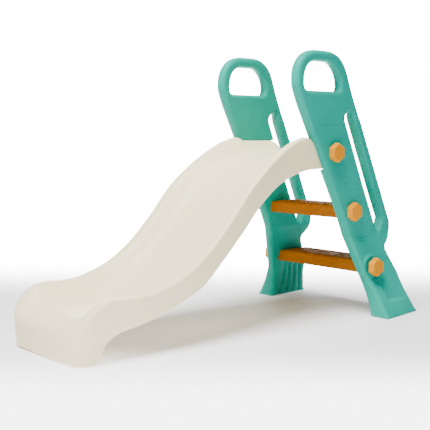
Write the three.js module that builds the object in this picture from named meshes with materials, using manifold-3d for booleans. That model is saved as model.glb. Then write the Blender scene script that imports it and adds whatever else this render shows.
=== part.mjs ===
import * as THREE from "three";
import Module from "manifold-3d";
import { mergeVertices } from "three/addons/utils/BufferGeometryUtils.js";

// Toddler slide: a double-walled chute and two steps held between two side panels by
// moulded studs and hand-turned cap nuts. Millimetres, +Z up, the chute runs out towards -X.
// Profiles are drawn from a datum at the front of the handle hole; DATUM_X moves them to
// the middle of the object.
const DATUM_X = 167.5;

// side panels
const PANEL_T = 35;
const PANEL_HEIGHT = 803;
const PANEL_EDGE = 9;
const PANEL_WALL = 4;
const CAVITY_EDGE = 6;
const INNER_GAP_TOP = 142;
const LEAN = 0.02;
const KNEE_Z = 250;
const FOOT_Z = 110;
const SPLAY = 0.232;
const FOOT_FRONT_X = 251;
const FOOT_REAR_X = 430;
const FLARE_FRONT = 38;
const FLARE_REAR = 11;
const TOE_OUT = 17;
const VENT_R = 4;

// chute seat in each panel
const SEAT_DEPTH_Y = 167.6;
const SEAT_LOW = 454;
const SEAT_HIGH = 541;
const SEAT_FRONT = 0;
const SEAT_REAR = 203;

// chute
const CHUTE_HALF_EXIT = 179;
const CHUTE_HALF_MID = 183;
const CHUTE_HALF_TOP = 166;
const EXIT_CORNER = 44;
const EXIT_X = -765;
const CHUTE_REAR_X = 197;
const RAIL_W = 40;
const RAIL_ROUND = 9;
const SIDE_DRAFT = 10;
const CHUTE_WALL = 4;

// steps
const STEP_GAP = 0.4;
const STEP_WALL = 3.5;
const STEP_EDGE = 8;
const RIB_COUNT = 12;
const RIB_W = 9;
const RIB_H = 4;
const STEPS = {
  upper: { front: 180, rear: 288, low: 303, high: 338, studX: 197, studZ: 325 },
  lower: { front: 246, rear: 360, low: 131, high: 167, studX: 263, studZ: 153 },
};

// studs and cap nuts
const STUD_R = 11;
const FIT = 0.3;
const BOSS_R = 19;
const STUD_INSET = 30;
const STUD_PROUD = 12;
const PIVOT_X = 118;
const PIVOT_Z = 505;
const NUT_CORNER_R = 29.5;
const NUT_FACE_R = 23;
const NUT_H = 20;
const NUT_CHAMFER = 6;
const BORE_SIDES = 16;

const wasm = await Module();
wasm.setup();

function closed(geometry) {
  const g = geometry.index ? geometry.toNonIndexed() : geometry.clone();
  g.deleteAttribute("normal");
  g.deleteAttribute("uv");
  const m = mergeVertices(g, 1e-3);
  return new wasm.Manifold(new wasm.Mesh({
    numProp: 3,
    vertProperties: Float32Array.from(m.attributes.position.array),
    triVerts: Uint32Array.from(m.index.array),
  }));
}

function opened(solid) {
  const mesh = solid.getMesh();
  const g = new THREE.BufferGeometry();
  g.setAttribute("position", new THREE.BufferAttribute(Float32Array.from(mesh.vertProperties), 3));
  g.setIndex(Array.from(mesh.triVerts));
  return g;
}

function join(solids) {
  return solids.reduce((a, b) => a.add(b));
}

function cut(solid, tools) {
  return tools.reduce((a, b) => a.subtract(b), solid);
}

function block(x0, x1, y0, y1, z0, z1) {
  const g = new THREE.BoxGeometry(x1 - x0, y1 - y0, z1 - z0);
  g.translate((x0 + x1) / 2, (y0 + y1) / 2, (z0 + z1) / 2);
  return closed(g);
}

// cylinder along Y from y0 to y1
function rod(r, x, z, y0, y1, sides = BORE_SIDES) {
  const g = new THREE.CylinderGeometry(r, r, y1 - y0, sides);
  g.translate(x, (y0 + y1) / 2, z);
  return closed(g);
}

// half gap between the panels' inner faces at height z
function innerGap(z) {
  const splayed = SPLAY * Math.max(0, KNEE_Z - z);
  return INNER_GAP_TOP + LEAN * (800 - z) + splayed;
}

function smoothStep(t) {
  const c = Math.min(1, Math.max(0, t));
  return c * c * (3 - 2 * c);
}

// piecewise-linear table lookup
function along(table, x) {
  if (x <= table[0][0]) return table[0][1];
  for (let i = 1; i < table.length; i += 1) {
    const [x1, v1] = table[i];
    if (x <= x1) {
      const [x0, v0] = table[i - 1];
      return v0 + ((v1 - v0) * (x - x0)) / (x1 - x0);
    }
  }
  return table[table.length - 1][1];
}

function panelOutline() {
  const s = new THREE.Shape();
  s.moveTo(FOOT_FRONT_X, 0);
  s.lineTo(FOOT_REAR_X, 0);
  s.lineTo(398, 73);
  s.lineTo(385, 127);
  s.lineTo(348, 196);
  s.quadraticCurveTo(344, 207, 352, 214);
  s.quadraticCurveTo(387, 240, 382, 285);
  s.lineTo(203, 687);
  s.lineTo(184, 738);
  s.bezierCurveTo(168, 780, 140, PANEL_HEIGHT, 92, PANEL_HEIGHT);
  s.lineTo(48, PANEL_HEIGHT);
  s.bezierCurveTo(-6, PANEL_HEIGHT, -46, 764, -37, 697);
  s.lineTo(-14, 645);
  s.lineTo(126, 373);
  s.quadraticCurveTo(170, 288, 195, 214);
  s.lineTo(224, 135);
  s.quadraticCurveTo(242, 92, 249, 50);
  s.closePath();
  s.holes.push(handleHole(), railSlot());
  return s;
}

function handleHole() {
  const h = new THREE.Path();
  h.moveTo(10, 685);
  h.quadraticCurveTo(-3, 688, -3, 705);
  h.bezierCurveTo(-3, 748, 16, 770, 48, 770);
  h.lineTo(92, 770);
  h.bezierCurveTo(122, 770, 150, 733, 148, 700);
  h.quadraticCurveTo(147, 686, 136, 685);
  h.closePath();
  return h;
}

function railSlot() {
  const h = new THREE.Path();
  h.moveTo(168, 603);
  h.quadraticCurveTo(170, 626, 190, 628);
  h.quadraticCurveTo(199, 628, 203, 616);
  h.lineTo(342, 296);
  h.quadraticCurveTo(337, 268, 322, 258);
  h.quadraticCurveTo(316, 256, 314, 264);
  h.lineTo(256, 395);
  h.closePath();
  return h;
}

// flat slab: drawn in X and Z, its inner face at y = 0 and its outer face at y = -PANEL_T
function slab(shape, inset, edge) {
  const g = new THREE.ExtrudeGeometry(shape, {
    depth: PANEL_T - 2 * inset - 2 * edge,
    curveSegments: 4,
    bevelEnabled: true,
    bevelThickness: edge,
    bevelSize: edge,
    bevelOffset: -edge - inset,
    bevelSegments: 1,
  });
  g.translate(0, 0, inset + edge);
  g.rotateX(Math.PI / 2);
  return closed(g);
}

// leans, splays and flares a slab into its place on the -Y side
function placed(solid) {
  const g = opened(solid);
  const p = g.attributes.position;
  for (let i = 0; i < p.count; i += 1) {
    const x = p.getX(i);
    const z = p.getZ(i);
    const low = Math.max(0, FOOT_Z - z) / FOOT_Z;
    const back = (x - FOOT_FRONT_X) / (FOOT_REAR_X - FOOT_FRONT_X);
    const inner = innerGap(z) + TOE_OUT * low * back;
    const flare = FLARE_FRONT + (FLARE_REAR - TOE_OUT - FLARE_FRONT) * back;
    const depth = -p.getY(i) / PANEL_T;
    p.setY(i, -inner - depth * (PANEL_T + flare * low));
  }
  return closed(g);
}

function bands(solid) {
  const far = 2000;
  const limits = [-far, FOOT_Z, KNEE_Z, far];
  const out = [];
  for (let i = 0; i < 3; i += 1) {
    out.push(placed(solid.intersect(block(-far, far, -far, far, limits[i], limits[i + 1]))));
  }
  return join(out);
}

function fixings() {
  const { upper, lower } = STEPS;
  return [
    { name: "chute", x: PIVOT_X, z: PIVOT_Z, inner: CHUTE_HALF_TOP },
    { name: "upper_step", x: upper.studX, z: upper.studZ, inner: innerGap(upper.studZ) },
    { name: "lower_step", x: lower.studX, z: lower.studZ, inner: innerGap(lower.studZ) },
  ];
}

function sidePanel() {
  const outline = panelOutline();
  const shell = bands(slab(outline, 0, PANEL_EDGE));
  const seat = block(SEAT_FRONT - 60, SEAT_REAR, -SEAT_DEPTH_Y, 0, SEAT_LOW, SEAT_HIGH);
  const grown = block(
    SEAT_FRONT - 60, SEAT_REAR + PANEL_WALL, -SEAT_DEPTH_Y - PANEL_WALL, 0,
    SEAT_LOW - PANEL_WALL, SEAT_HIGH + PANEL_WALL,
  );
  const bosses = fixings().map((f) => rod(BOSS_R, f.x, f.z, -400, 0));
  const cavity = cut(bands(slab(outline, PANEL_WALL, CAVITY_EDGE)), [grown, ...bosses]);
  const bores = fixings().map((f) => rod(STUD_R + FIT, f.x, f.z, -400, 0));
  const vent = new THREE.CylinderGeometry(VENT_R, VENT_R, 40, 12);
  vent.rotateX(Math.PI / 2);
  vent.translate(330, -innerGap(0) - PANEL_T / 2 - 12, 0);
  return cut(shell, [seat, cavity, ...bores, closed(vent)]);
}

// heights along the chute, front to back
const RAIL_Z = [
  [-765, 64], [-760, 76], [-747, 98], [-731, 121], [-706, 143], [-680, 155], [-655, 159],
  [-610, 157], [-560, 160], [-512, 171], [-443, 198], [-371, 247], [-296, 320], [-220, 406],
  [-143, 470], [-64, 520], [-15, 541], [20, 549], [32, 546], [44, 537], [170, 537], [197, 528],
];
const FLOOR_Z = [
  [-765, 62], [-760, 74], [-747, 90], [-731, 100], [-706, 107], [-680, 109], [-655, 109],
  [-610, 110], [-560, 115], [-512, 122], [-443, 146], [-371, 188], [-296, 253], [-220, 336],
  [-143, 409], [-64, 463], [-15, 484], [28, 494], [52, 497], [170, 497], [197, 492],
];
const UNDER_Z = [
  [-765, 8], [-757, 0], [-712, 0], [-700, 12], [-688, 40], [-665, 60], [-640, 70], [-586, 80],
  [-523, 95], [-450, 122], [-381, 153], [-310, 215], [-234, 290], [-173, 352], [-103, 403],
  [-25, 442], [40, 456], [79, 460], [170, 464], [197, 470],
];
const STATIONS = [
  -765, -757, -745, -725, -712, -700, -688, -665, -640, -600, -560, -500, -440, -385, -330, -275,
  -220, -165, -110, -55, 0, 22, 44, 120, 178, 197,
];

function chuteHalfWidth(x) {
  const widening = (CHUTE_HALF_MID - CHUTE_HALF_EXIT) * smoothStep((x - EXIT_X) / 300);
  const narrowing = (CHUTE_HALF_MID - CHUTE_HALF_TOP) * smoothStep((x + 250) / 260);
  const ahead = Math.max(0, EXIT_X + EXIT_CORNER - x);
  const corner = EXIT_CORNER - Math.sqrt(EXIT_CORNER ** 2 - ahead ** 2);
  return CHUTE_HALF_EXIT + widening - narrowing - corner;
}

// one closed ring of the trough at x, shrunk by wall for the hollow inside
function chuteRing(x, wall) {
  const w = chuteHalfWidth(x) - wall;
  const rail = along(RAIL_Z, x) - wall;
  const floor = along(FLOOR_Z, x) - wall;
  const under = along(UNDER_Z, x) + wall;
  const round = Math.min(RAIL_ROUND, (rail - under) * 0.4);
  const railW = RAIL_W - 2 * wall;
  const rise = rail - floor;
  const draft = SIDE_DRAFT * (1 - smoothStep((x + 100) / 80));
  const half = [
    [w - draft - 10, under],
    [w - draft - 2, under + 6],
    [w, rail - round],
    [w - round * 0.3, rail - round * 0.3],
    [w - railW * 0.45, rail],
    [w - railW * 0.85, rail - rise * 0.16],
    [w - railW - 12, floor + rise * 0.42],
    [w - railW - 30, floor + rise * 0.1],
    [w - railW - 56, floor],
  ];
  const mirrored = half.map(([y, z]) => [-y, z]).reverse();
  return [...half, ...mirrored].map(([y, z]) => [x, y, z]);
}

function capFaces(ring) {
  return THREE.ShapeUtils.triangulateShape(ring.map(([, y, z]) => new THREE.Vector2(y, z)), []);
}

function loft(rings) {
  const n = rings[0].length;
  const tri = [];
  for (let i = 0; i < rings.length - 1; i += 1) {
    for (let j = 0; j < n; j += 1) {
      const k = (j + 1) % n;
      tri.push(rings[i][j], rings[i][k], rings[i + 1][k]);
      tri.push(rings[i][j], rings[i + 1][k], rings[i + 1][j]);
    }
  }
  for (const [a, b, c] of capFaces(rings[0])) {
    tri.push(rings[0][a], rings[0][c], rings[0][b]);
  }
  const last = rings[rings.length - 1];
  for (const [a, b, c] of capFaces(last)) {
    tri.push(last[a], last[b], last[c]);
  }
  const g = new THREE.BufferGeometry();
  g.setAttribute("position", new THREE.BufferAttribute(new Float32Array(tri.flat()), 3));
  return closed(g);
}

function chuteSolid(wall) {
  const clip = wall * 1.6;
  const xs = STATIONS.filter((x) => x > EXIT_X + clip && x < CHUTE_REAR_X - clip);
  const ends = [EXIT_X + clip, ...xs, CHUTE_REAR_X - clip];
  return loft((wall > 0 ? ends : STATIONS).map((x) => chuteRing(x, wall)));
}

function chute() {
  const outer = chuteSolid(0);
  const seats = [-1, 1].map((side) => studSocket(side, CHUTE_HALF_TOP, PIVOT_X, PIVOT_Z));
  const guards = [-1, 1].map((side) => {
    const ends = [side * (CHUTE_HALF_TOP - STUD_INSET - 8), side * 300].sort((a, b) => a - b);
    return rod(BOSS_R - 3, PIVOT_X, PIVOT_Z, ends[0], ends[1]);
  });
  const vent = new THREE.CylinderGeometry(VENT_R, VENT_R, 30, 12);
  vent.rotateZ(Math.PI / 2);
  vent.translate(CHUTE_REAR_X, 60, 481);
  return cut(outer, [cut(chuteSolid(CHUTE_WALL), guards), ...seats, closed(vent)]);
}

function studSocket(side, face, x, z) {
  const ends = [side * (face - STUD_INSET - FIT), side * (face + 5)].sort((a, b) => a - b);
  return rod(STUD_R + FIT, x, z, ends[0], ends[1]);
}

function stepShape(s) {
  const shape = new THREE.Shape();
  shape.moveTo(s.front + 3, s.low);
  shape.lineTo(s.rear - 6, s.low);
  shape.lineTo(s.rear, s.low + 6);
  shape.lineTo(s.rear, s.high - STEP_EDGE);
  shape.quadraticCurveTo(s.rear, s.high, s.rear - STEP_EDGE, s.high);
  shape.lineTo(s.front + STEP_EDGE, s.high);
  shape.quadraticCurveTo(s.front, s.high, s.front, s.high - STEP_EDGE);
  shape.closePath();
  return shape;
}

// bar drawn in X and Z, reaching each panel's inner face, which leans
function stepBar(s, inset) {
  const shrunk = {
    front: s.front + inset, rear: s.rear - inset, low: s.low + inset, high: s.high - inset,
  };
  const g = new THREE.ExtrudeGeometry(stepShape(shrunk), {
    depth: 2, curveSegments: 3, bevelEnabled: false,
  });
  g.translate(0, 0, -1);
  g.rotateX(Math.PI / 2);
  const p = g.attributes.position;
  for (let i = 0; i < p.count; i += 1) {
    const reach = innerGap(p.getZ(i)) - STEP_GAP - inset;
    p.setY(i, Math.sign(p.getY(i)) * reach);
  }
  return closed(g);
}

function step(s) {
  const face = innerGap(s.studZ) - STEP_GAP;
  const ribs = [];
  const span = 2 * face - 50;
  for (let i = 0; i < RIB_COUNT; i += 1) {
    const y = -span / 2 + (span * (i + 0.5)) / RIB_COUNT;
    ribs.push(block(s.front + 10, s.rear - 10, y - RIB_W / 2, y + RIB_W / 2, s.high - 2, s.high + RIB_H));
  }
  const guards = [-1, 1].map((side) => {
    const ends = [side * (face - STUD_INSET - 6), side * 300].sort((a, b) => a - b);
    return rod(STUD_R + 4, s.studX, s.studZ, ends[0], ends[1]);
  });
  const hollow = cut(stepBar(s, STEP_WALL), guards);
  const sockets = [-1, 1].map((side) => studSocket(side, face, s.studX, s.studZ));
  const vent = new THREE.CylinderGeometry(VENT_R, VENT_R, 20, 12);
  vent.rotateX(Math.PI / 2);
  vent.translate(s.rear - 40, 0, s.low);
  return cut(join([stepBar(s, 0), ...ribs]), [hollow, ...sockets, closed(vent)]);
}

// outer face of the -Y panel at height z, above the foot
function outerFace(z) {
  return innerGap(z) + PANEL_T;
}

// plain shank from inside the held part to just inside the cap nut
function stud(f) {
  const chamfer = 1.5;
  const inner = f.inner - STUD_INSET;
  const outer = outerFace(f.z) + STUD_PROUD;
  const profile = [
    [0, inner], [STUD_R - chamfer, inner], [STUD_R, inner + chamfer],
    [STUD_R, outer - chamfer], [STUD_R - chamfer, outer], [0, outer],
  ].map(([r, y]) => new THREE.Vector2(r, y));
  const g = new THREE.LatheGeometry(profile, BORE_SIDES);
  g.rotateX(Math.PI);
  g.translate(f.x, 0, f.z);
  return closed(g);
}

function hexagon(r, y) {
  const rounding = 0.9;
  const pts = [];
  for (let i = 0; i < 12; i += 1) {
    const corner = Math.floor(i / 2);
    const turn = i % 2 === 0 ? -1 : 1;
    const a = ((corner + turn * (1 - rounding)) * Math.PI) / 3 + Math.PI / 2;
    pts.push([r * Math.cos(a), y, r * Math.sin(a)]);
  }
  return pts;
}

// rounded hexagonal cap nut with a blind bore, its seat following the panel's lean
function nut(f) {
  const rings = [
    hexagon(NUT_CORNER_R - 1, 0), hexagon(NUT_CORNER_R, 2),
    hexagon(NUT_CORNER_R - 1, NUT_H - NUT_CHAMFER), hexagon(NUT_FACE_R, NUT_H),
  ];
  const tri = [];
  for (let i = 0; i < rings.length - 1; i += 1) {
    for (let j = 0; j < 12; j += 1) {
      const k = (j + 1) % 12;
      tri.push(rings[i][j], rings[i + 1][k], rings[i][k]);
      tri.push(rings[i][j], rings[i + 1][j], rings[i + 1][k]);
    }
  }
  for (let j = 1; j < 11; j += 1) {
    tri.push(rings[0][0], rings[0][j], rings[0][j + 1]);
    tri.push(rings[3][0], rings[3][j + 1], rings[3][j]);
  }
  const g = new THREE.BufferGeometry();
  g.setAttribute("position", new THREE.BufferAttribute(new Float32Array(tri.flat()), 3));
  g.rotateX(Math.PI);
  const seat = outerFace(f.z) + 1.2 + (f.z < KNEE_Z ? SPLAY * NUT_CORNER_R : 0);
  g.translate(f.x, -seat, f.z);
  const bore = rod(STUD_R + FIT, f.x, f.z, -outerFace(f.z) - STUD_PROUD - FIT, 0);
  return closed(g).subtract(bore);
}

function plastic(name, color, roughness) {
  return new THREE.MeshStandardMaterial({ name, color, roughness, metalness: 0 });
}

const TEAL = plastic("panel_plastic", 0x3fb39b, 0.42);
const CREAM = plastic("chute_plastic", 0xece5d8, 0.4);
const ORANGE = plastic("step_plastic", 0xf2a02c, 0.45);
const AMBER = plastic("nut_plastic", 0xf9ab2e, 0.4);

const group = new THREE.Group();
group.name = "toddler_slide";

function put(name, solid, material, mirror = false) {
  const g = opened(solid);
  if (mirror) {
    g.scale(1, -1, 1);
    const index = g.getIndex().array;
    for (let i = 0; i < index.length; i += 3) {
      [index[i + 1], index[i + 2]] = [index[i + 2], index[i + 1]];
    }
  }
  g.translate(DATUM_X, 0, 0);
  g.computeVertexNormals();
  const mesh = new THREE.Mesh(g, material);
  mesh.name = name;
  group.add(mesh);
}

put("chute", chute(), CREAM);
const panel = sidePanel();
put("side_panel_left", panel, TEAL);
put("side_panel_right", panel, TEAL, true);
put("upper_step", step(STEPS.upper), ORANGE);
put("lower_step", step(STEPS.lower), ORANGE);
for (const f of fixings()) {
  const shank = stud(f);
  const cap = nut(f);
  for (const side of ["left", "right"]) {
    put(`${f.name}_stud_${side}`, shank, AMBER, side === "right");
    put(`${f.name}_nut_${side}`, cap, AMBER, side === "right");
  }
}

export default group;
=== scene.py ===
import math

import bpy
import numpy as np
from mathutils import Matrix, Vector
from mathutils.geometry import delaunay_2d_cdt


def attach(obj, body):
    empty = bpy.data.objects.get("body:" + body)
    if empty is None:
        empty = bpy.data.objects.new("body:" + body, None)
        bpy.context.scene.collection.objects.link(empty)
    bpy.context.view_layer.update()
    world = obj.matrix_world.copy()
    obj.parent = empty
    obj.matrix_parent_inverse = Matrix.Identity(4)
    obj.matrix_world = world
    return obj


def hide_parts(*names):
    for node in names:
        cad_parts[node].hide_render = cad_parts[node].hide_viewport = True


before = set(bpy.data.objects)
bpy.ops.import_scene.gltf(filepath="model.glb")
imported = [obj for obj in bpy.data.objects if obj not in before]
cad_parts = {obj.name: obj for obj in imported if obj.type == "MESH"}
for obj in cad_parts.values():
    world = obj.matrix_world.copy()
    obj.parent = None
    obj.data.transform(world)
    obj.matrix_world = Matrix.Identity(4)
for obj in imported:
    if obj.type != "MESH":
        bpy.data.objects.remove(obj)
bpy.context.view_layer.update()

# Drawn sizes are millimetres from the same datum as the part's profiles.
MM = 0.001
DATUM_X = 167.5

# side panels
PANEL_H = 803.0
PANEL_T = 35.0
GAP_TOP = 142.0
LEAN = 0.02
SPLAY = 0.232
KNEE_Z = 250.0
FOOT_Z = 110.0
FOOT_FRONT_X = 251.0
FOOT_REAR_X = 430.0
FLARE_FRONT = 38.0
FLARE_REAR = 11.0
TOE_OUT = 17.0
SEAT_Y = 167.6
SEAT_LOW = 454.0
SEAT_HIGH = 541.0
SEAT_REAR = 203.0
OUTLINE_STEP = 3.0
HOLE_STEP = 2.6
FACE_STEP = 3.6
# moulded lines across the outer face: front x, rear x, height
LINES = [(160, 205, 418), (148, 186, 414), (214, 290, 243), (222, 262, 236)]
UPPER_LINE = (50, 151, 585)
LINE_DEPTH = 1.1
FLUTE_DEPTH = 6.5

# chute
EXIT_X = -765.0
CHUTE_REAR_X = 197.0
HALF_EXIT = 179.0
HALF_MID = 183.0
HALF_TOP = 166.0
EXIT_CORNER = 44.0
RAIL_W = 40.0
SIDE_DRAFT = 10.0
RAIL_Z = [
    (-765, 70), (-763, 80), (-757, 92), (-747, 105), (-731, 124), (-706, 145), (-680, 155.5),
    (-655, 159), (-610, 157), (-560, 160), (-512, 171), (-443, 198), (-371, 247), (-296, 320),
    (-220, 406), (-143, 470), (-64, 520), (-15, 541), (20, 549), (32, 547), (45, 539.5), (170, 539),
    (190, 531), (197, 524),
]
FLOOR_Z = [
    (-765, 67), (-763, 75), (-757, 84), (-747, 92), (-731, 100), (-706, 106), (-680, 108),
    (-655, 109), (-610, 110), (-560, 115), (-512, 122), (-443, 146), (-371, 188), (-296, 253),
    (-220, 336), (-143, 409), (-64, 463), (-15, 484), (28, 494), (52, 497), (170, 497), (197, 492),
]
UNDER_Z = [
    (-765, 6), (-761, 1.5), (-755, 0.5), (-714, 0.5), (-706, 4), (-698, 14), (-688, 36), (-676, 51),
    (-660, 62), (-640, 70), (-586, 80), (-523, 95), (-450, 122), (-381, 153), (-310, 215),
    (-234, 290), (-173, 352), (-103, 403), (-25, 442), (40, 455), (79, 457), (170, 459), (197, 468),
]

# steps and fixings
STEPS = {
    "upper_step": dict(front=180, rear=288, low=303, high=338),
    "lower_step": dict(front=246, rear=360, low=131, high=167),
}
RIB_PITCH = 15.0
RIB_H = 4.6
FIXINGS = {"chute": (118, 505), "upper_step": (197, 325), "lower_step": (263, 153)}
NUT_R = 30.0

TEAL = (0.0, 0.30, 0.228)
CREAM = (0.88, 0.77, 0.47)
# step colour: the nuts' amber plastic darkened, painted shade for the shade that falls on the steps under
# the chute
STEP_AMBER_PAINTED_SHADE = (0.29, 0.094, 0.002)
AMBER = (0.62, 0.225, 0.0)

# the backdrop side of the studio, as a compass direction seen from the object
BACKDROP = Vector((0.6484, 0.7613, 0.0))
ACROSS = Vector((0.7613, -0.6484, 0.0))
BRIGHT = 16.0
NEAR_BRIGHT = 6.0
SURROUND = 0.2
FLOOR_REACH = 30.0
KEY_AT = (-1.3, -0.45, 3.9)
KEY_SIZE = 1.8
KEY_POWER = 500

# camera
CAMERA_AT = (-1.805 + DATUM_X * MM, -1.893, 0.551)
CAMERA_AZIMUTH = -40.42
CAMERA_ELEVATION = 5.2
SENSOR = 36
LENS = 71.732


def ease(t):
    t = np.clip(t, 0.0, 1.0)
    return t * t * (3 - 2 * t)


def soft_above(v, width):
    """max(0, v) with its corner rounded over width."""
    return 0.5 * (v + np.sqrt(v * v + width * width)) - 0.5 * width * np.exp(-np.abs(v) / width)


def hermite(table, x):
    """Smooth curve through a table, without overshoot."""
    t = np.array(table, float)
    xs, vs = t[:, 0], t[:, 1]
    h = np.diff(xs)
    d = np.diff(vs) / h
    m = np.zeros(len(xs))
    same = d[:-1] * d[1:] > 0
    w1, w2 = 2 * h[1:] + h[:-1], h[1:] + 2 * h[:-1]
    safe = np.where(same, d[:-1], 1.0), np.where(same, d[1:], 1.0)
    m[1:-1] = np.where(same, (w1 + w2) / (w1 / safe[0] + w2 / safe[1]), 0.0)
    m[0], m[-1] = d[0], d[-1]
    x = np.clip(x, xs[0], xs[-1])
    i = np.clip(np.searchsorted(xs, x) - 1, 0, len(xs) - 2)
    s = (x - xs[i]) / h[i]
    a, b = 2 * s**3 - 3 * s**2 + 1, s**3 - 2 * s**2 + s
    c, e = -2 * s**3 + 3 * s**2, s**3 - s**2
    return a * vs[i] + b * h[i] * m[i] + c * vs[i + 1] + e * h[i] * m[i + 1]


def inner_gap(z):
    return GAP_TOP + LEAN * (800 - z) + SPLAY * soft_above(KNEE_Z - z, 14)


# ---------- outlines


def bezier(points, count=60):
    """Samples one line, quadratic or cubic stretch, without its last point."""
    p = np.array(points, float)
    t = np.linspace(0, 1, count, endpoint=False)[:, None]
    n = len(p) - 1
    return sum(math.comb(n, k) * (1 - t) ** (n - k) * t**k * p[k] for k in range(n + 1))


def path(start, *stretches):
    """Closed loop from a start point and stretches of one, two or three points each."""
    out, here = [], start
    for s in stretches:
        out.append(bezier([here, *s]))
        here = s[-1]
    out.append(bezier([here, start]))
    return np.vstack(out)


def even(loop, step, rounding):
    """Evenly spaced closed loop, its corners eased by a moving average."""
    closed = np.vstack([loop, loop[:1]])
    run = np.r_[0, np.cumsum(np.linalg.norm(np.diff(closed, axis=0), axis=1))]
    keep = np.r_[True, np.diff(run) > 1e-9]
    count = int(run[-1] / step)
    t = np.linspace(0, run[-1], count, endpoint=False)
    p = np.stack([np.interp(t, run[keep], closed[keep, k]) for k in (0, 1)], 1)
    for _ in range(rounding):
        p = 0.25 * np.roll(p, 1, 0) + 0.5 * p + 0.25 * np.roll(p, -1, 0)
    return p


def panel_outline():
    return path(
        (251, 0), [(430, 0)], [(398, 73)], [(385, 127)], [(348, 196)], [(344, 207), (352, 214)],
        [(387, 240), (382, 285)], [(203, 687)], [(184, 738)], [(168, 780), (140, PANEL_H), (92, PANEL_H)],
        [(48, PANEL_H)], [(-6, PANEL_H), (-46, 764), (-37, 697)], [(-14, 645)], [(126, 373)],
        [(170, 288), (195, 214)], [(224, 135)], [(242, 92), (249, 50)],
    )


def handle_hole():
    return path(
        (10, 685), [(-3, 688), (-3, 705)], [(-3, 748), (16, 770), (48, 770)], [(92, 770)],
        [(122, 770), (150, 733), (148, 700)], [(147, 686), (136, 685)],
    )


def rail_slot():
    return path(
        (168, 603), [(170, 626), (190, 628)], [(199, 628), (203, 616)], [(342, 296)],
        [(337, 268), (322, 258)], [(316, 256), (314, 264)], [(256, 395)],
    )


def inside_distance(points, loops):
    """Distance to the nearest loop, positive on material."""
    best = np.full(len(points), 1e9)
    crossings = np.zeros(len(points), int)
    for loop in loops:
        a, b = loop, np.roll(loop, -1, 0)
        for start in range(0, len(points), 4000):
            p = points[start:start + 4000, None, :]
            ab = (b - a)[None]
            t = np.clip(((p - a) * ab).sum(2) / (ab * ab).sum(2), 0, 1)
            gap = np.linalg.norm(p - a - t[..., None] * ab, axis=2).min(1)
            best[start:start + 4000] = np.minimum(best[start:start + 4000], gap)
            za, zb, z = a[None, :, 1], b[None, :, 1], p[:, :, 1]
            spans = (za > z) != (zb > z)
            reach = a[None, :, 0] + (z - za) / np.where(zb == za, 1, zb - za) * (b - a)[None, :, 0]
            crossings[start:start + 4000] += (spans & (p[:, :, 0] < reach)).sum(1)
    return np.where(crossings % 2 == 1, best, -best)


# ---------- side panel


def slot_line(z):
    """x of the line down the middle of the handrail slot."""
    return 189 + (628 - z) * (332 - 189) / (628 - 262)


def tube_share(x, z, rear):
    """1 on the handle loop and the handrail, 0 on the flat body."""
    loop = ease((z - 672) / 30)
    rail = ease((x - slot_line(z) + 4) / 8) * ease((z - 222) / 45) * ease((690 - z) / 40)
    joining = ease((z - 585) / 40) * ease((44 - rear) / 16) * ease((x - 60) / 60)
    return np.maximum(loop, np.maximum(0.2 * rail * ease((660 - z) / 40), joining))


def panel_section(x, z, d, rear):
    """Half thickness at a place d inside the outline."""
    tube = tube_share(x, z, rear)
    half = PANEL_T / 2 - 0.8 * tube
    at_slot = ease((x - slot_line(z)) / 6) * ease((slot_line(z) + 26 - x) / 4)
    radius = 10.5 + tube * 3.0 - 5.0 * at_slot * ease((z - 250) / 30) * ease((625 - z) / 20)
    radius = np.where(z < 6, 4.0, radius)
    inward = radius - np.clip(d, 0, radius)
    return half - radius + np.sqrt(np.maximum(radius * radius - inward * inward, 0))


def groove(x, z, x0, x1, at):
    """Share of a faint moulded line across the outer face."""
    across = np.exp(-(((z - at) / 1.9) ** 2))
    return across * ease((x - x0) / 8) * ease((x1 - x) / 8)


def outer_detail(x, z, d):
    """Outward offset of the outer face from the flared slab."""
    cut = sum(groove(x, z, *line) for line in LINES) + 1.3 * groove(x, z, *UPPER_LINE)
    edge = 0.9 * ease((16 - d) / 5) * ease((d - 9) / 4) * ease((z - 250) / 60) * ease((600 - z) / 60)
    sx, sz = FIXINGS["lower_step"]
    radial = np.hypot(x - sx, z - sz)
    level = SPLAY * (sz - z) * 0.9
    seat = ease((40 - radial) / 7) * level
    return -LINE_DEPTH * np.clip(cut, 0, 1) - edge - seat


def foot_pocket(x, z):
    """Share of the foot's flare that the outer face's pocket takes back."""
    front = 276 + 0.30 * (FOOT_Z - z)
    across = ease((x - front) / 10) * ease((412 + 0.35 * (48 - z) - x) / 14)
    return across * ease((z - 44) / 7)


def foot_flutes(x, z, d):
    """How far the inner face of the foot is sunk along its five curved flutes."""
    flutes = np.zeros_like(x)
    for k in range(5):
        centre = 283 + 24 * k + 0.27 * (120 - z) - 0.0009 * (120 - z) ** 2 * (2 - k)
        flutes += np.exp(-(((x - centre) / 6.5) ** 4))
    top = 128 - 0.05 * (x - 300)
    flutes *= ease((top - z) / 26) * ease((d - 4) / 8)
    return FLUTE_DEPTH * flutes


def rim_points(loops):
    """Rings of points where each edge rounds over, kept clear of the other edges."""
    pts, depths = [], []
    for loop in loops:
        side = np.roll(loop, -1, 0) - np.roll(loop, 1, 0)
        normal = np.stack([-side[:, 1], side[:, 0]], 1)
        normal /= np.linalg.norm(normal, axis=1)[:, None]
        probe = inside_distance(loop[:1] + normal[:1], loops)[0]
        normal *= 1 if probe > 0 else -1
        tubes = tube_share(loop[:, 0], loop[:, 1], rear_distance(loop)) > 0.5
        for k, turn in enumerate((20, 36, 50, 64, 78)):
            depth = np.where(tubes, 16.0, 10.5) * (1 - math.cos(math.radians(turn)))
            keep = slice(k % 2, None, 1 if k < 3 else 2)
            pts.append((loop + normal * depth[:, None])[keep])
            depths.append(depth[keep])
    pts, depths = np.vstack(pts), np.concatenate(depths)
    near = inside_distance(pts, loops)
    return pts[(near > 0.9 * depths) & (near < 1.1 * depths + 0.1)]


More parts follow.
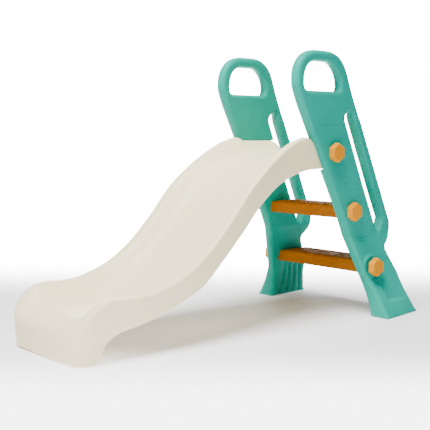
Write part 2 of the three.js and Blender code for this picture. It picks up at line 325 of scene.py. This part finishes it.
def field_points(loops):
    """Even field of points over the flat middle of the face."""
    lo, hi = loops[0].min(0), loops[0].max(0)
    gx, gz = np.meshgrid(np.arange(lo[0], hi[0], FACE_STEP), np.arange(lo[1], hi[1], FACE_STEP))
    gx = gx + (np.arange(gx.shape[0]) % 2)[:, None] * FACE_STEP / 2
    field = np.stack([gx.ravel(), gz.ravel()], 1)
    d = inside_distance(field, loops)
    wanted = 9.0 + 4.0 * tube_share(field[:, 0], field[:, 1], rear_distance(field))
    return field[d > wanted]


def detail_points(loops):
    """Pairs of points either side of the seat's edges, and rows along each moulded line."""
    edge = []
    for offset in (-0.7, 0.7):
        xs = np.arange(-30, SEAT_REAR + offset, 3.0)
        zs = np.arange(SEAT_LOW - offset, SEAT_HIGH + offset, 3.0)
        edge.append(np.stack([xs, np.full_like(xs, SEAT_LOW - offset)], 1))
        edge.append(np.stack([xs, np.full_like(xs, SEAT_HIGH + offset)], 1))
        edge.append(np.stack([np.full_like(zs, SEAT_REAR + offset), zs], 1))
    for x0, x1, at in (*LINES, UPPER_LINE):
        xs = np.arange(x0, x1, 2.4)
        edge += [np.stack([xs, np.full_like(xs, at + dz)], 1) for dz in (-2.6, -1.1, 0.0, 1.1, 2.6)]
    edge = np.vstack(edge)
    return edge[inside_distance(edge, loops) > 1.0]


REAR_LINE = np.array([(203, 687), (382, 285)], float)


def rear_distance(p):
    """Distance in from the handrail's straight rear edge."""
    a, b = REAR_LINE
    u = (b - a) / np.linalg.norm(b - a)
    return (p[:, 0] - a[0]) * u[1] - (p[:, 1] - a[1]) * u[0]


def panel_face():
    """Triangles of the panel's side view, and its outline loops."""
    loops = [even(panel_outline(), OUTLINE_STEP, 2)]
    loops += [even(hole, HOLE_STEP, 3) for hole in (handle_hole(), rail_slot())]
    edges, start = [], 0
    for loop in loops:
        n = len(loop)
        edges += [(start + i, start + (i + 1) % n) for i in range(n)]
        start += n
    points = [*loops, rim_points(loops), field_points(loops), detail_points(loops)]
    verts = [Vector(p) for p in np.vstack(points)]
    out = delaunay_2d_cdt(verts, edges, [], 0, 1e-4)
    flat = np.array([tuple(v) for v in out[0]])
    tri = np.array(out[2])
    tri = tri[inside_distance(flat[tri].mean(1), loops) > 0]
    return flat, tri, np.maximum(inside_distance(flat, loops), 0)


def panel_solid(flat, tri, d):
    """Both faces and the rim of a panel on the +Y side."""
    x, z = flat[:, 0], flat[:, 1]
    half = panel_section(x, z, d, rear_distance(flat))
    low = soft_above(FOOT_Z - z, 6) / FOOT_Z
    back = (x - FOOT_FRONT_X) / (FOOT_REAR_X - FOOT_FRONT_X)
    gap = inner_gap(z) + TOE_OUT * low * back
    flare = (FLARE_FRONT + (FLARE_REAR - TOE_OUT - FLARE_FRONT) * back) * low
    outer_t = (PANEL_T / 2 + half) / PANEL_T
    inner_t = (PANEL_T / 2 - half) / PANEL_T
    on_face = ease((d - 2) / 8)
    taken = 0.8 * foot_pocket(x, z) * on_face
    y_out = gap + outer_t * (PANEL_T + flare * (1 - taken)) + outer_detail(x, z, d) * on_face
    y_in = gap + inner_t * (PANEL_T + flare) + foot_flutes(x, z, d)
    seat = (z > SEAT_LOW) & (z < SEAT_HIGH) & (x < SEAT_REAR)
    y_in = np.where(seat, np.maximum(y_in, SEAT_Y), y_in)
    y_out = np.maximum(y_out, y_in + 0.5)
    n = len(flat)
    pos = np.vstack([np.stack([x, y_out, z], 1), np.stack([x, y_in, z], 1)])
    a, b, c = tri.T
    area = (x[b] - x[a]) * (z[c] - z[a]) - (x[c] - x[a]) * (z[b] - z[a])
    tri[area < 0] = tri[area < 0][:, ::-1]
    faces = [tuple(f[::-1]) for f in tri] + [tuple(f + n) for f in tri]
    count = {}
    for f in tri:
        for i in range(3):
            e = (f[i], f[(i + 1) % 3])
            count[e] = count.get(e, 0) + 1
    for p, q in count:
        if (q, p) not in count:
            faces.append((p, q, q + n, p + n))
    return pos, faces


# ---------- meshes


def make(name, pos, faces, side=1, crease=40):
    """Object from millimetre points; side -1 or 1 mirrors it across the middle plane."""
    pos = np.array(pos, float)
    pos[:, 0] += DATUM_X
    pos[:, 1] *= side
    faces = [tuple(int(i) for i in f) for f in faces]
    if side < 0:
        faces = [f[::-1] for f in faces]
    mesh = bpy.data.meshes.new(name)
    mesh.from_pydata((pos * MM).tolist(), [], faces)
    mesh.validate()
    mesh.shade_smooth()
    mesh.set_sharp_from_angle(angle=math.radians(crease))
    ob = bpy.data.objects.new(name, mesh)
    bpy.context.scene.collection.objects.link(ob)
    return ob


def loft_faces(rows, n):
    """Quads between consecutive rings of n points, and one face across each end."""
    faces = []
    for i in range(rows - 1):
        for j in range(n):
            k = (j + 1) % n
            faces.append((i * n + j, i * n + k, (i + 1) * n + k, (i + 1) * n + j))
    last = (rows - 1) * n
    faces.append(tuple(range(n))[::-1])
    faces.append(tuple(range(last, last + n)))
    return faces


def rounded(points, times):
    """Corner cutting of a closed ring; keeps the count fixed for lofting."""
    p = np.array(points, float)
    for _ in range(times):
        q = np.roll(p, -1, 0)
        p = np.stack([0.75 * p + 0.25 * q, 0.25 * p + 0.75 * q], 1).reshape(-1, 2)
        p = np.roll(p, 1, 0)
    return p


# ---------- chute


def chute_half(x):
    widening = (HALF_MID - HALF_EXIT) * ease((x - EXIT_X) / 300)
    narrowing = (HALF_MID - HALF_TOP) * ease((x + 250) / 260)
    ahead = np.clip(EXIT_X + EXIT_CORNER - x, 0, EXIT_CORNER)
    return HALF_EXIT + widening - narrowing - EXIT_CORNER + np.sqrt(EXIT_CORNER**2 - ahead**2)


def chute_ring(x, shrink=0.0):
    w = float(chute_half(x))
    rail, floor, under = (float(hermite(t, x)) for t in (RAIL_Z, FLOOR_Z, UNDER_Z))
    tall = rail - under
    rnd = min(8.0, tall * 0.3)
    rise = rail - floor
    arch = 6.0 * float(ease((x + 620) / 120))
    draft = SIDE_DRAFT * float(1 - ease((x + 100) / 80)) * float(ease((tall - 20) / 40))
    half = [
        (w * 0.3, under + arch), (w - draft - 46, under + arch), (w - draft - 14, under),
        (w - draft - 4, under + 0.5), (w - draft - 1.5, under + 6), (w - draft * 0.5, under + tall * 0.45),
        (w, rail - rnd), (w - rnd * 0.12, rail - rnd * 0.4), (w - rnd * 0.55, rail - rnd * 0.05),
        (w - RAIL_W * 0.4, rail + 1.2), (w - RAIL_W * 0.7, rail - rise * 0.03),
        (w - RAIL_W * 0.95, rail - rise * 0.2), (w - RAIL_W - 18, floor + rise * 0.38),
        (w - RAIL_W - 38, floor + rise * 0.12), (w - RAIL_W - 64, floor + 0.6), (w * 0.12, floor),
    ]
    ring = half + [(-y, z) for y, z in reversed(half)]
    ring = rounded(ring, 2)
    if shrink:
        mid = ring.mean(0)
        reach = np.abs(ring - mid).max(0)
        ring = mid + (ring - mid) * (1 - shrink / reach)
    return ring


def chute_stations():
    front = EXIT_X + EXIT_CORNER * (1 - np.cos(np.radians(np.linspace(0, 90, 22))))
    body = np.arange(EXIT_X + EXIT_CORNER + 5, 20, 6.0)
    top = np.arange(24, CHUTE_REAR_X - 6, 4.0)
    return np.concatenate([front, body, top])


def build_chute():
    xs = chute_stations()
    rings = [(xs[0], chute_ring(xs[0], 14)), (xs[0], chute_ring(xs[0], 4))]
    rings += [(x, chute_ring(x)) for x in xs]
    for turn in (30, 55, 75, 90):
        t = math.radians(turn)
        x = CHUTE_REAR_X - 5 + 5 * math.sin(t)
        rings.append((x, chute_ring(x, 5 * (1 - math.cos(t)))))
    rings.append((CHUTE_REAR_X, chute_ring(CHUTE_REAR_X, 9)))
    n = len(rings[0][1])
    pos = np.vstack([np.column_stack([np.full(n, x), r]) for x, r in rings])
    return make("chute_shell", pos, [f[::-1] for f in loft_faces(len(rings), n)])


# ---------- steps


def step_profile(s, lift):
    front, rear, low, high = s["front"], s["rear"], s["low"], s["high"]
    top = high + lift
    corners = [
        (front + 2, low), (front + 14, low), (rear - 14, low), (rear - 2, low), (rear, low + 3),
        (rear, low + 12), (rear, high - 9), (rear - 1.5, high - 2), (rear - 4, high + lift * 0.6),
        (rear - 9, top), (front + 9, top), (front + 4, high + lift * 0.6), (front + 1.5, high - 2),
        (front, high - 7), (front, low + 14), (front, low + 3),
    ]
    return rounded(corners, 2)


def build_step(name, s):
    reach = inner_gap((s["low"] + s["high"]) / 2) - 0.4
    ys = np.linspace(-reach, reach, 2 * round(reach / 0.8) + 1)
    ribbed = reach - 20
    count = round(2 * ribbed / RIB_PITCH)
    phase = 0.5 - 0.5 * np.cos(math.pi * count * (ys + ribbed) / ribbed)
    lift = RIB_H * ease((phase - 0.12) / 0.5) * (np.abs(ys) < ribbed)
    rows = [step_profile(s, h) for h in lift]
    n = len(rows[0])
    pos = []
    for y, row in zip(ys, rows):
        lean = inner_gap(row[:, 1]) - 0.4
        pos.append(np.stack([row[:, 0], y * lean / reach, row[:, 1]], 1))
    return make(name + "_bar", np.vstack(pos), loft_faces(len(rows), n), crease=50)


# ---------- cap nuts


def nut_ring(scale, depth, sharp=0.93):
    """Rounded hexagon: radius eases between flats and corners."""
    a = np.radians(np.arange(0, 360, 5.0))
    flat = math.cos(math.pi / 6) / np.cos(a % (math.pi / 3) - math.pi / 6)
    r = NUT_R * scale * (flat ** 0.9) * (1 - (1 - sharp) * np.clip((flat - 0.95) / 0.2, 0, 1))
    return np.stack([r * np.sin(a), np.full_like(a, depth), r * np.cos(a)], 1)


def build_nut(node, x, z, side):
    seat = inner_gap(z) + PANEL_T + 1.2 + (SPLAY * 29 if z < KNEE_Z else 0)
    profile = [
        (0.93, 0.0), (0.985, 0.6), (1.0, 2.0), (1.0, 9.0), (0.985, 13.0), (0.95, 15.6), (0.9, 17.3),
        (0.84, 18.4), (0.78, 18.9), (0.72, 19.0), (0.66, 18.6), (0.6, 18.5), (0.35, 18.8), (0.12, 18.9),
    ]
    rings = [nut_ring(k, depth) for k, depth in profile]
    n = len(rings[0])
    pos = np.vstack(rings) + np.array([x, seat, z])
    return make(node + "_cap", pos, loft_faces(len(rings), n), side, crease=46)


# ---------- materials


class Graph:
    """Adds shader nodes to one node tree."""

    def __init__(self, tree):
        self.nodes, self.links = tree.nodes, tree.links

    def feed(self, socket, value):
        """Puts a number or a colour on a socket, or links an output to it."""
        if isinstance(value, tuple):
            socket.default_value = (*value, 1)
        elif isinstance(value, (int, float)):
            socket.default_value = value
        else:
            self.links.new(value, socket)

    def noise(self, scale, detail):
        node = self.nodes.new("ShaderNodeTexNoise")
        node.inputs["Scale"].default_value = scale
        node.inputs["Detail"].default_value = detail
        self.links.new(self.place("Object"), node.inputs["Vector"])
        return node.outputs["Fac"]

    def place(self, space):
        return self.nodes.new("ShaderNodeTexCoord").outputs[space]

    def mix(self, factor, a, b):
        node = self.nodes.new("ShaderNodeMix")
        node.data_type = "RGBA"
        self.feed(node.inputs["Factor"], factor)
        self.feed(node.inputs[6], a)
        self.feed(node.inputs[7], b)
        return node.outputs[2]

    def span(self, value, lo, hi, out_lo=0.0, out_hi=1.0, kind="LINEAR"):
        node = self.nodes.new("ShaderNodeMapRange")
        node.interpolation_type = kind
        self.links.new(value, node.inputs["Value"])
        for key, v in zip(("From Min", "From Max", "To Min", "To Max"), (lo, hi, out_lo, out_hi)):
            node.inputs[key].default_value = v
        return node.outputs["Result"]

    def ramp(self, value, lo, hi):
        return self.span(value, lo, hi, kind="SMOOTHSTEP")

    def bump(self, height, strength, distance):
        node = self.nodes.new("ShaderNodeBump")
        node.inputs["Strength"].default_value = strength
        node.inputs["Distance"].default_value = distance
        self.links.new(height, node.inputs["Height"])
        return node

    def along(self, vector, axis):
        node = self.nodes.new("ShaderNodeVectorMath")
        node.operation = "DOT_PRODUCT"
        node.inputs[1].default_value = axis
        self.links.new(vector, node.inputs[0])
        return node.outputs["Value"]

    def maths(self, operation, a, b=0.0):
        node = self.nodes.new("ShaderNodeMath")
        node.operation = operation
        self.feed(node.inputs[0], a)
        self.feed(node.inputs[1], b)
        return node.outputs["Value"]


def plastic(name, color, rough, tint=0.06, grain=0.06, glow=0.0, gloss=0.3):
    """Moulded plastic: cloudy colour, uneven gloss, fine grain and paler rubbed edges."""
    mat = bpy.data.materials.new(name)
    mat.use_nodes = True
    graph = Graph(mat.node_tree)
    shader = graph.nodes["Principled BSDF"]
    dark = tuple(c * (1 - tint) for c in color)
    pale = tuple(min(1, c * (1 + tint) + 0.003) for c in color)
    rubbed = tuple(min(1, c * 1.3 + 0.012) for c in color)
    cloudy = graph.mix(graph.span(graph.noise(5, 3), 0.3, 0.7), dark, pale)
    worn = graph.nodes.new("ShaderNodeNewGeometry").outputs["Pointiness"]
    graph.feed(shader.inputs["Base Color"], graph.mix(graph.span(worn, 0.52, 0.62, 0, 0.6), cloudy, rubbed))
    uneven = graph.span(graph.noise(22, 4), 0.25, 0.75, rough - 0.06, rough + 0.08)
    graph.feed(shader.inputs["Roughness"], uneven)
    fine = graph.bump(graph.noise(520, 2), grain, 0.0006)
    broad = graph.bump(graph.noise(14, 2), 0.12, 0.004)
    graph.feed(broad.inputs["Normal"], fine.outputs["Normal"])
    graph.feed(shader.inputs["Normal"], broad.outputs["Normal"])
    shader.inputs["IOR"].default_value = 1.49
    shader.inputs["Specular IOR Level"].default_value = gloss
    if glow:
        shader.inputs["Subsurface Weight"].default_value = glow
        shader.inputs["Subsurface Radius"].default_value = (0.02, 0.016, 0.012)
        shader.inputs["Subsurface Scale"].default_value = 0.3
    return mat


def dress(ob, material, node, body):
    ob.data.materials.clear()
    ob.data.materials.append(material)
    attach(ob, body)
    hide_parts(node)


# ---------- studio


def lit_shares(graph):
    """How far the floor behind the object, and in front of it, is burnt out to white."""
    place = graph.place("Object")
    depth = graph.along(place, BACKDROP)
    across = graph.maths("ABSOLUTE", graph.along(place, ACROSS))
    widening = graph.maths("MULTIPLY", graph.maths("ADD", depth, 2.48), 0.28)
    aside = graph.ramp(graph.maths("SUBTRACT", across, widening), 0.0, 1.6)
    behind = graph.maths("MULTIPLY", graph.ramp(depth, 0.3, 1.3), graph.maths("SUBTRACT", 1.0, aside))
    toward = graph.maths("MULTIPLY", depth, -1.0)
    ahead = graph.ramp(toward, 0.2, 0.75)
    inside = graph.maths("SUBTRACT", 1.0, graph.ramp(toward, 0.95, 1.1))
    beside = graph.maths("SUBTRACT", 1.0, graph.ramp(across, 0.7, 1.0))
    near = graph.maths("MULTIPLY", graph.maths("MULTIPLY", ahead, inside), beside)
    return (behind, BRIGHT), (near, NEAR_BRIGHT)


def floor_material():
    mat = bpy.data.materials.new("studio_floor")
    mat.use_nodes = True
    graph = Graph(mat.node_tree)
    shader = graph.nodes["Principled BSDF"]
    shader.inputs["Base Color"].default_value = (0.84, 0.835, 0.87, 1)
    shader.inputs["Roughness"].default_value = 0.9
    shader.inputs["Specular IOR Level"].default_value = 0.1
    surface = shader.outputs["BSDF"]
    for share, strength in lit_shares(graph):
        white = graph.nodes.new("ShaderNodeEmission")
        white.inputs["Strength"].default_value = strength
        blend = graph.nodes.new("ShaderNodeMixShader")
        graph.feed(blend.inputs["Fac"], graph.maths("POWER", share, 1.6))
        graph.feed(blend.inputs[1], surface)
        graph.feed(blend.inputs[2], white.outputs["Emission"])
        surface = blend.outputs["Shader"]
    graph.feed(graph.nodes["Material Output"].inputs["Surface"], surface)
    return mat


def build_floor():
    """Pale floor that burns out to white in front of the object and behind it."""
    mesh = bpy.data.meshes.new("floor")
    r = FLOOR_REACH
    mesh.from_pydata([(-r, -r, 0), (r, -r, 0), (r, r, 0), (-r, r, 0)], [], [(0, 1, 2, 3)])
    mesh.materials.append(floor_material())
    ob = bpy.data.objects.new("floor", mesh)
    bpy.context.scene.collection.objects.link(ob)


def area_light(name, at, target, size, power):
    data = bpy.data.lights.new(name, "AREA")
    data.shape = "DISK"
    data.size = size
    data.energy = power
    ob = bpy.data.objects.new(name, data)
    ob.location = at
    ob.rotation_euler = (Vector(target) - Vector(at)).to_track_quat("-Z", "Y").to_euler()
    bpy.context.scene.collection.objects.link(ob)


def build_studio():
    """Even soft surroundings, burning out to white on the backdrop side."""
    world = bpy.data.worlds.new("studio")
    world.use_nodes = True
    graph = Graph(world.node_tree)
    background = graph.nodes["Background"]
    background.inputs["Color"].default_value = (1, 1, 1, 1)
    share = graph.ramp(graph.along(graph.place("Generated"), BACKDROP), 0.89, 0.95)
    lift = graph.maths("MULTIPLY", share, BRIGHT - SURROUND)
    graph.feed(background.inputs["Strength"], graph.maths("ADD", lift, SURROUND))
    bpy.context.scene.world = world
    area_light("key", KEY_AT, (0, 0, 0.3), KEY_SIZE, KEY_POWER)


def build_camera():
    data = bpy.data.cameras.new("camera")
    data.sensor_width = SENSOR
    data.lens = LENS
    ob = bpy.data.objects.new("camera", data)
    az, el = math.radians(CAMERA_AZIMUTH), math.radians(CAMERA_ELEVATION)
    back = Vector((math.sin(az) * math.cos(el), -math.cos(az) * math.cos(el), math.sin(el)))
    ob.location = CAMERA_AT
    ob.rotation_mode = "QUATERNION"
    ob.rotation_quaternion = (-back).to_track_quat("-Z", "Y")
    data.clip_end = 100
    bpy.context.scene.collection.objects.link(ob)
    bpy.context.scene.camera = ob


def build_object():
    teal = plastic("teal_plastic", TEAL, 0.33, tint=0.07, gloss=0.07)
    cream = plastic("cream_plastic", CREAM, 0.4, tint=0.025, grain=0.05, glow=0.1, gloss=0.25)
    # the steps' plastic is a darker copy of the amber, with the shade under the chute painted into its
    # colour
    step_plastic_painted_shade = plastic("step_amber_painted_shade", STEP_AMBER_PAINTED_SHADE, 0.7, tint=0.07, gloss=0.03)
    amber = plastic("amber_plastic", AMBER, 0.36, tint=0.05, gloss=0.05)
    dress(build_chute(), cream, "chute", "frame")
    points, faces = panel_solid(*panel_face())
    for word, side in (("left", -1), ("right", 1)):
        node = "side_panel_" + word
        dress(make(node + "_shell", points, faces, side), teal, node, "frame")
        for name, (x, z) in FIXINGS.items():
            nut = f"{name}_nut_{word}"
            dress(build_nut(nut, x, z, side), amber, nut, nut)
            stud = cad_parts[f"{name}_stud_{word}"]
            stud.data.materials.clear()
            stud.data.materials.append(amber)
    for name, s in STEPS.items():
        dress(build_step(name, s), step_plastic_painted_shade, name, "frame")


build_object()
build_floor()
build_studio()
build_camera()
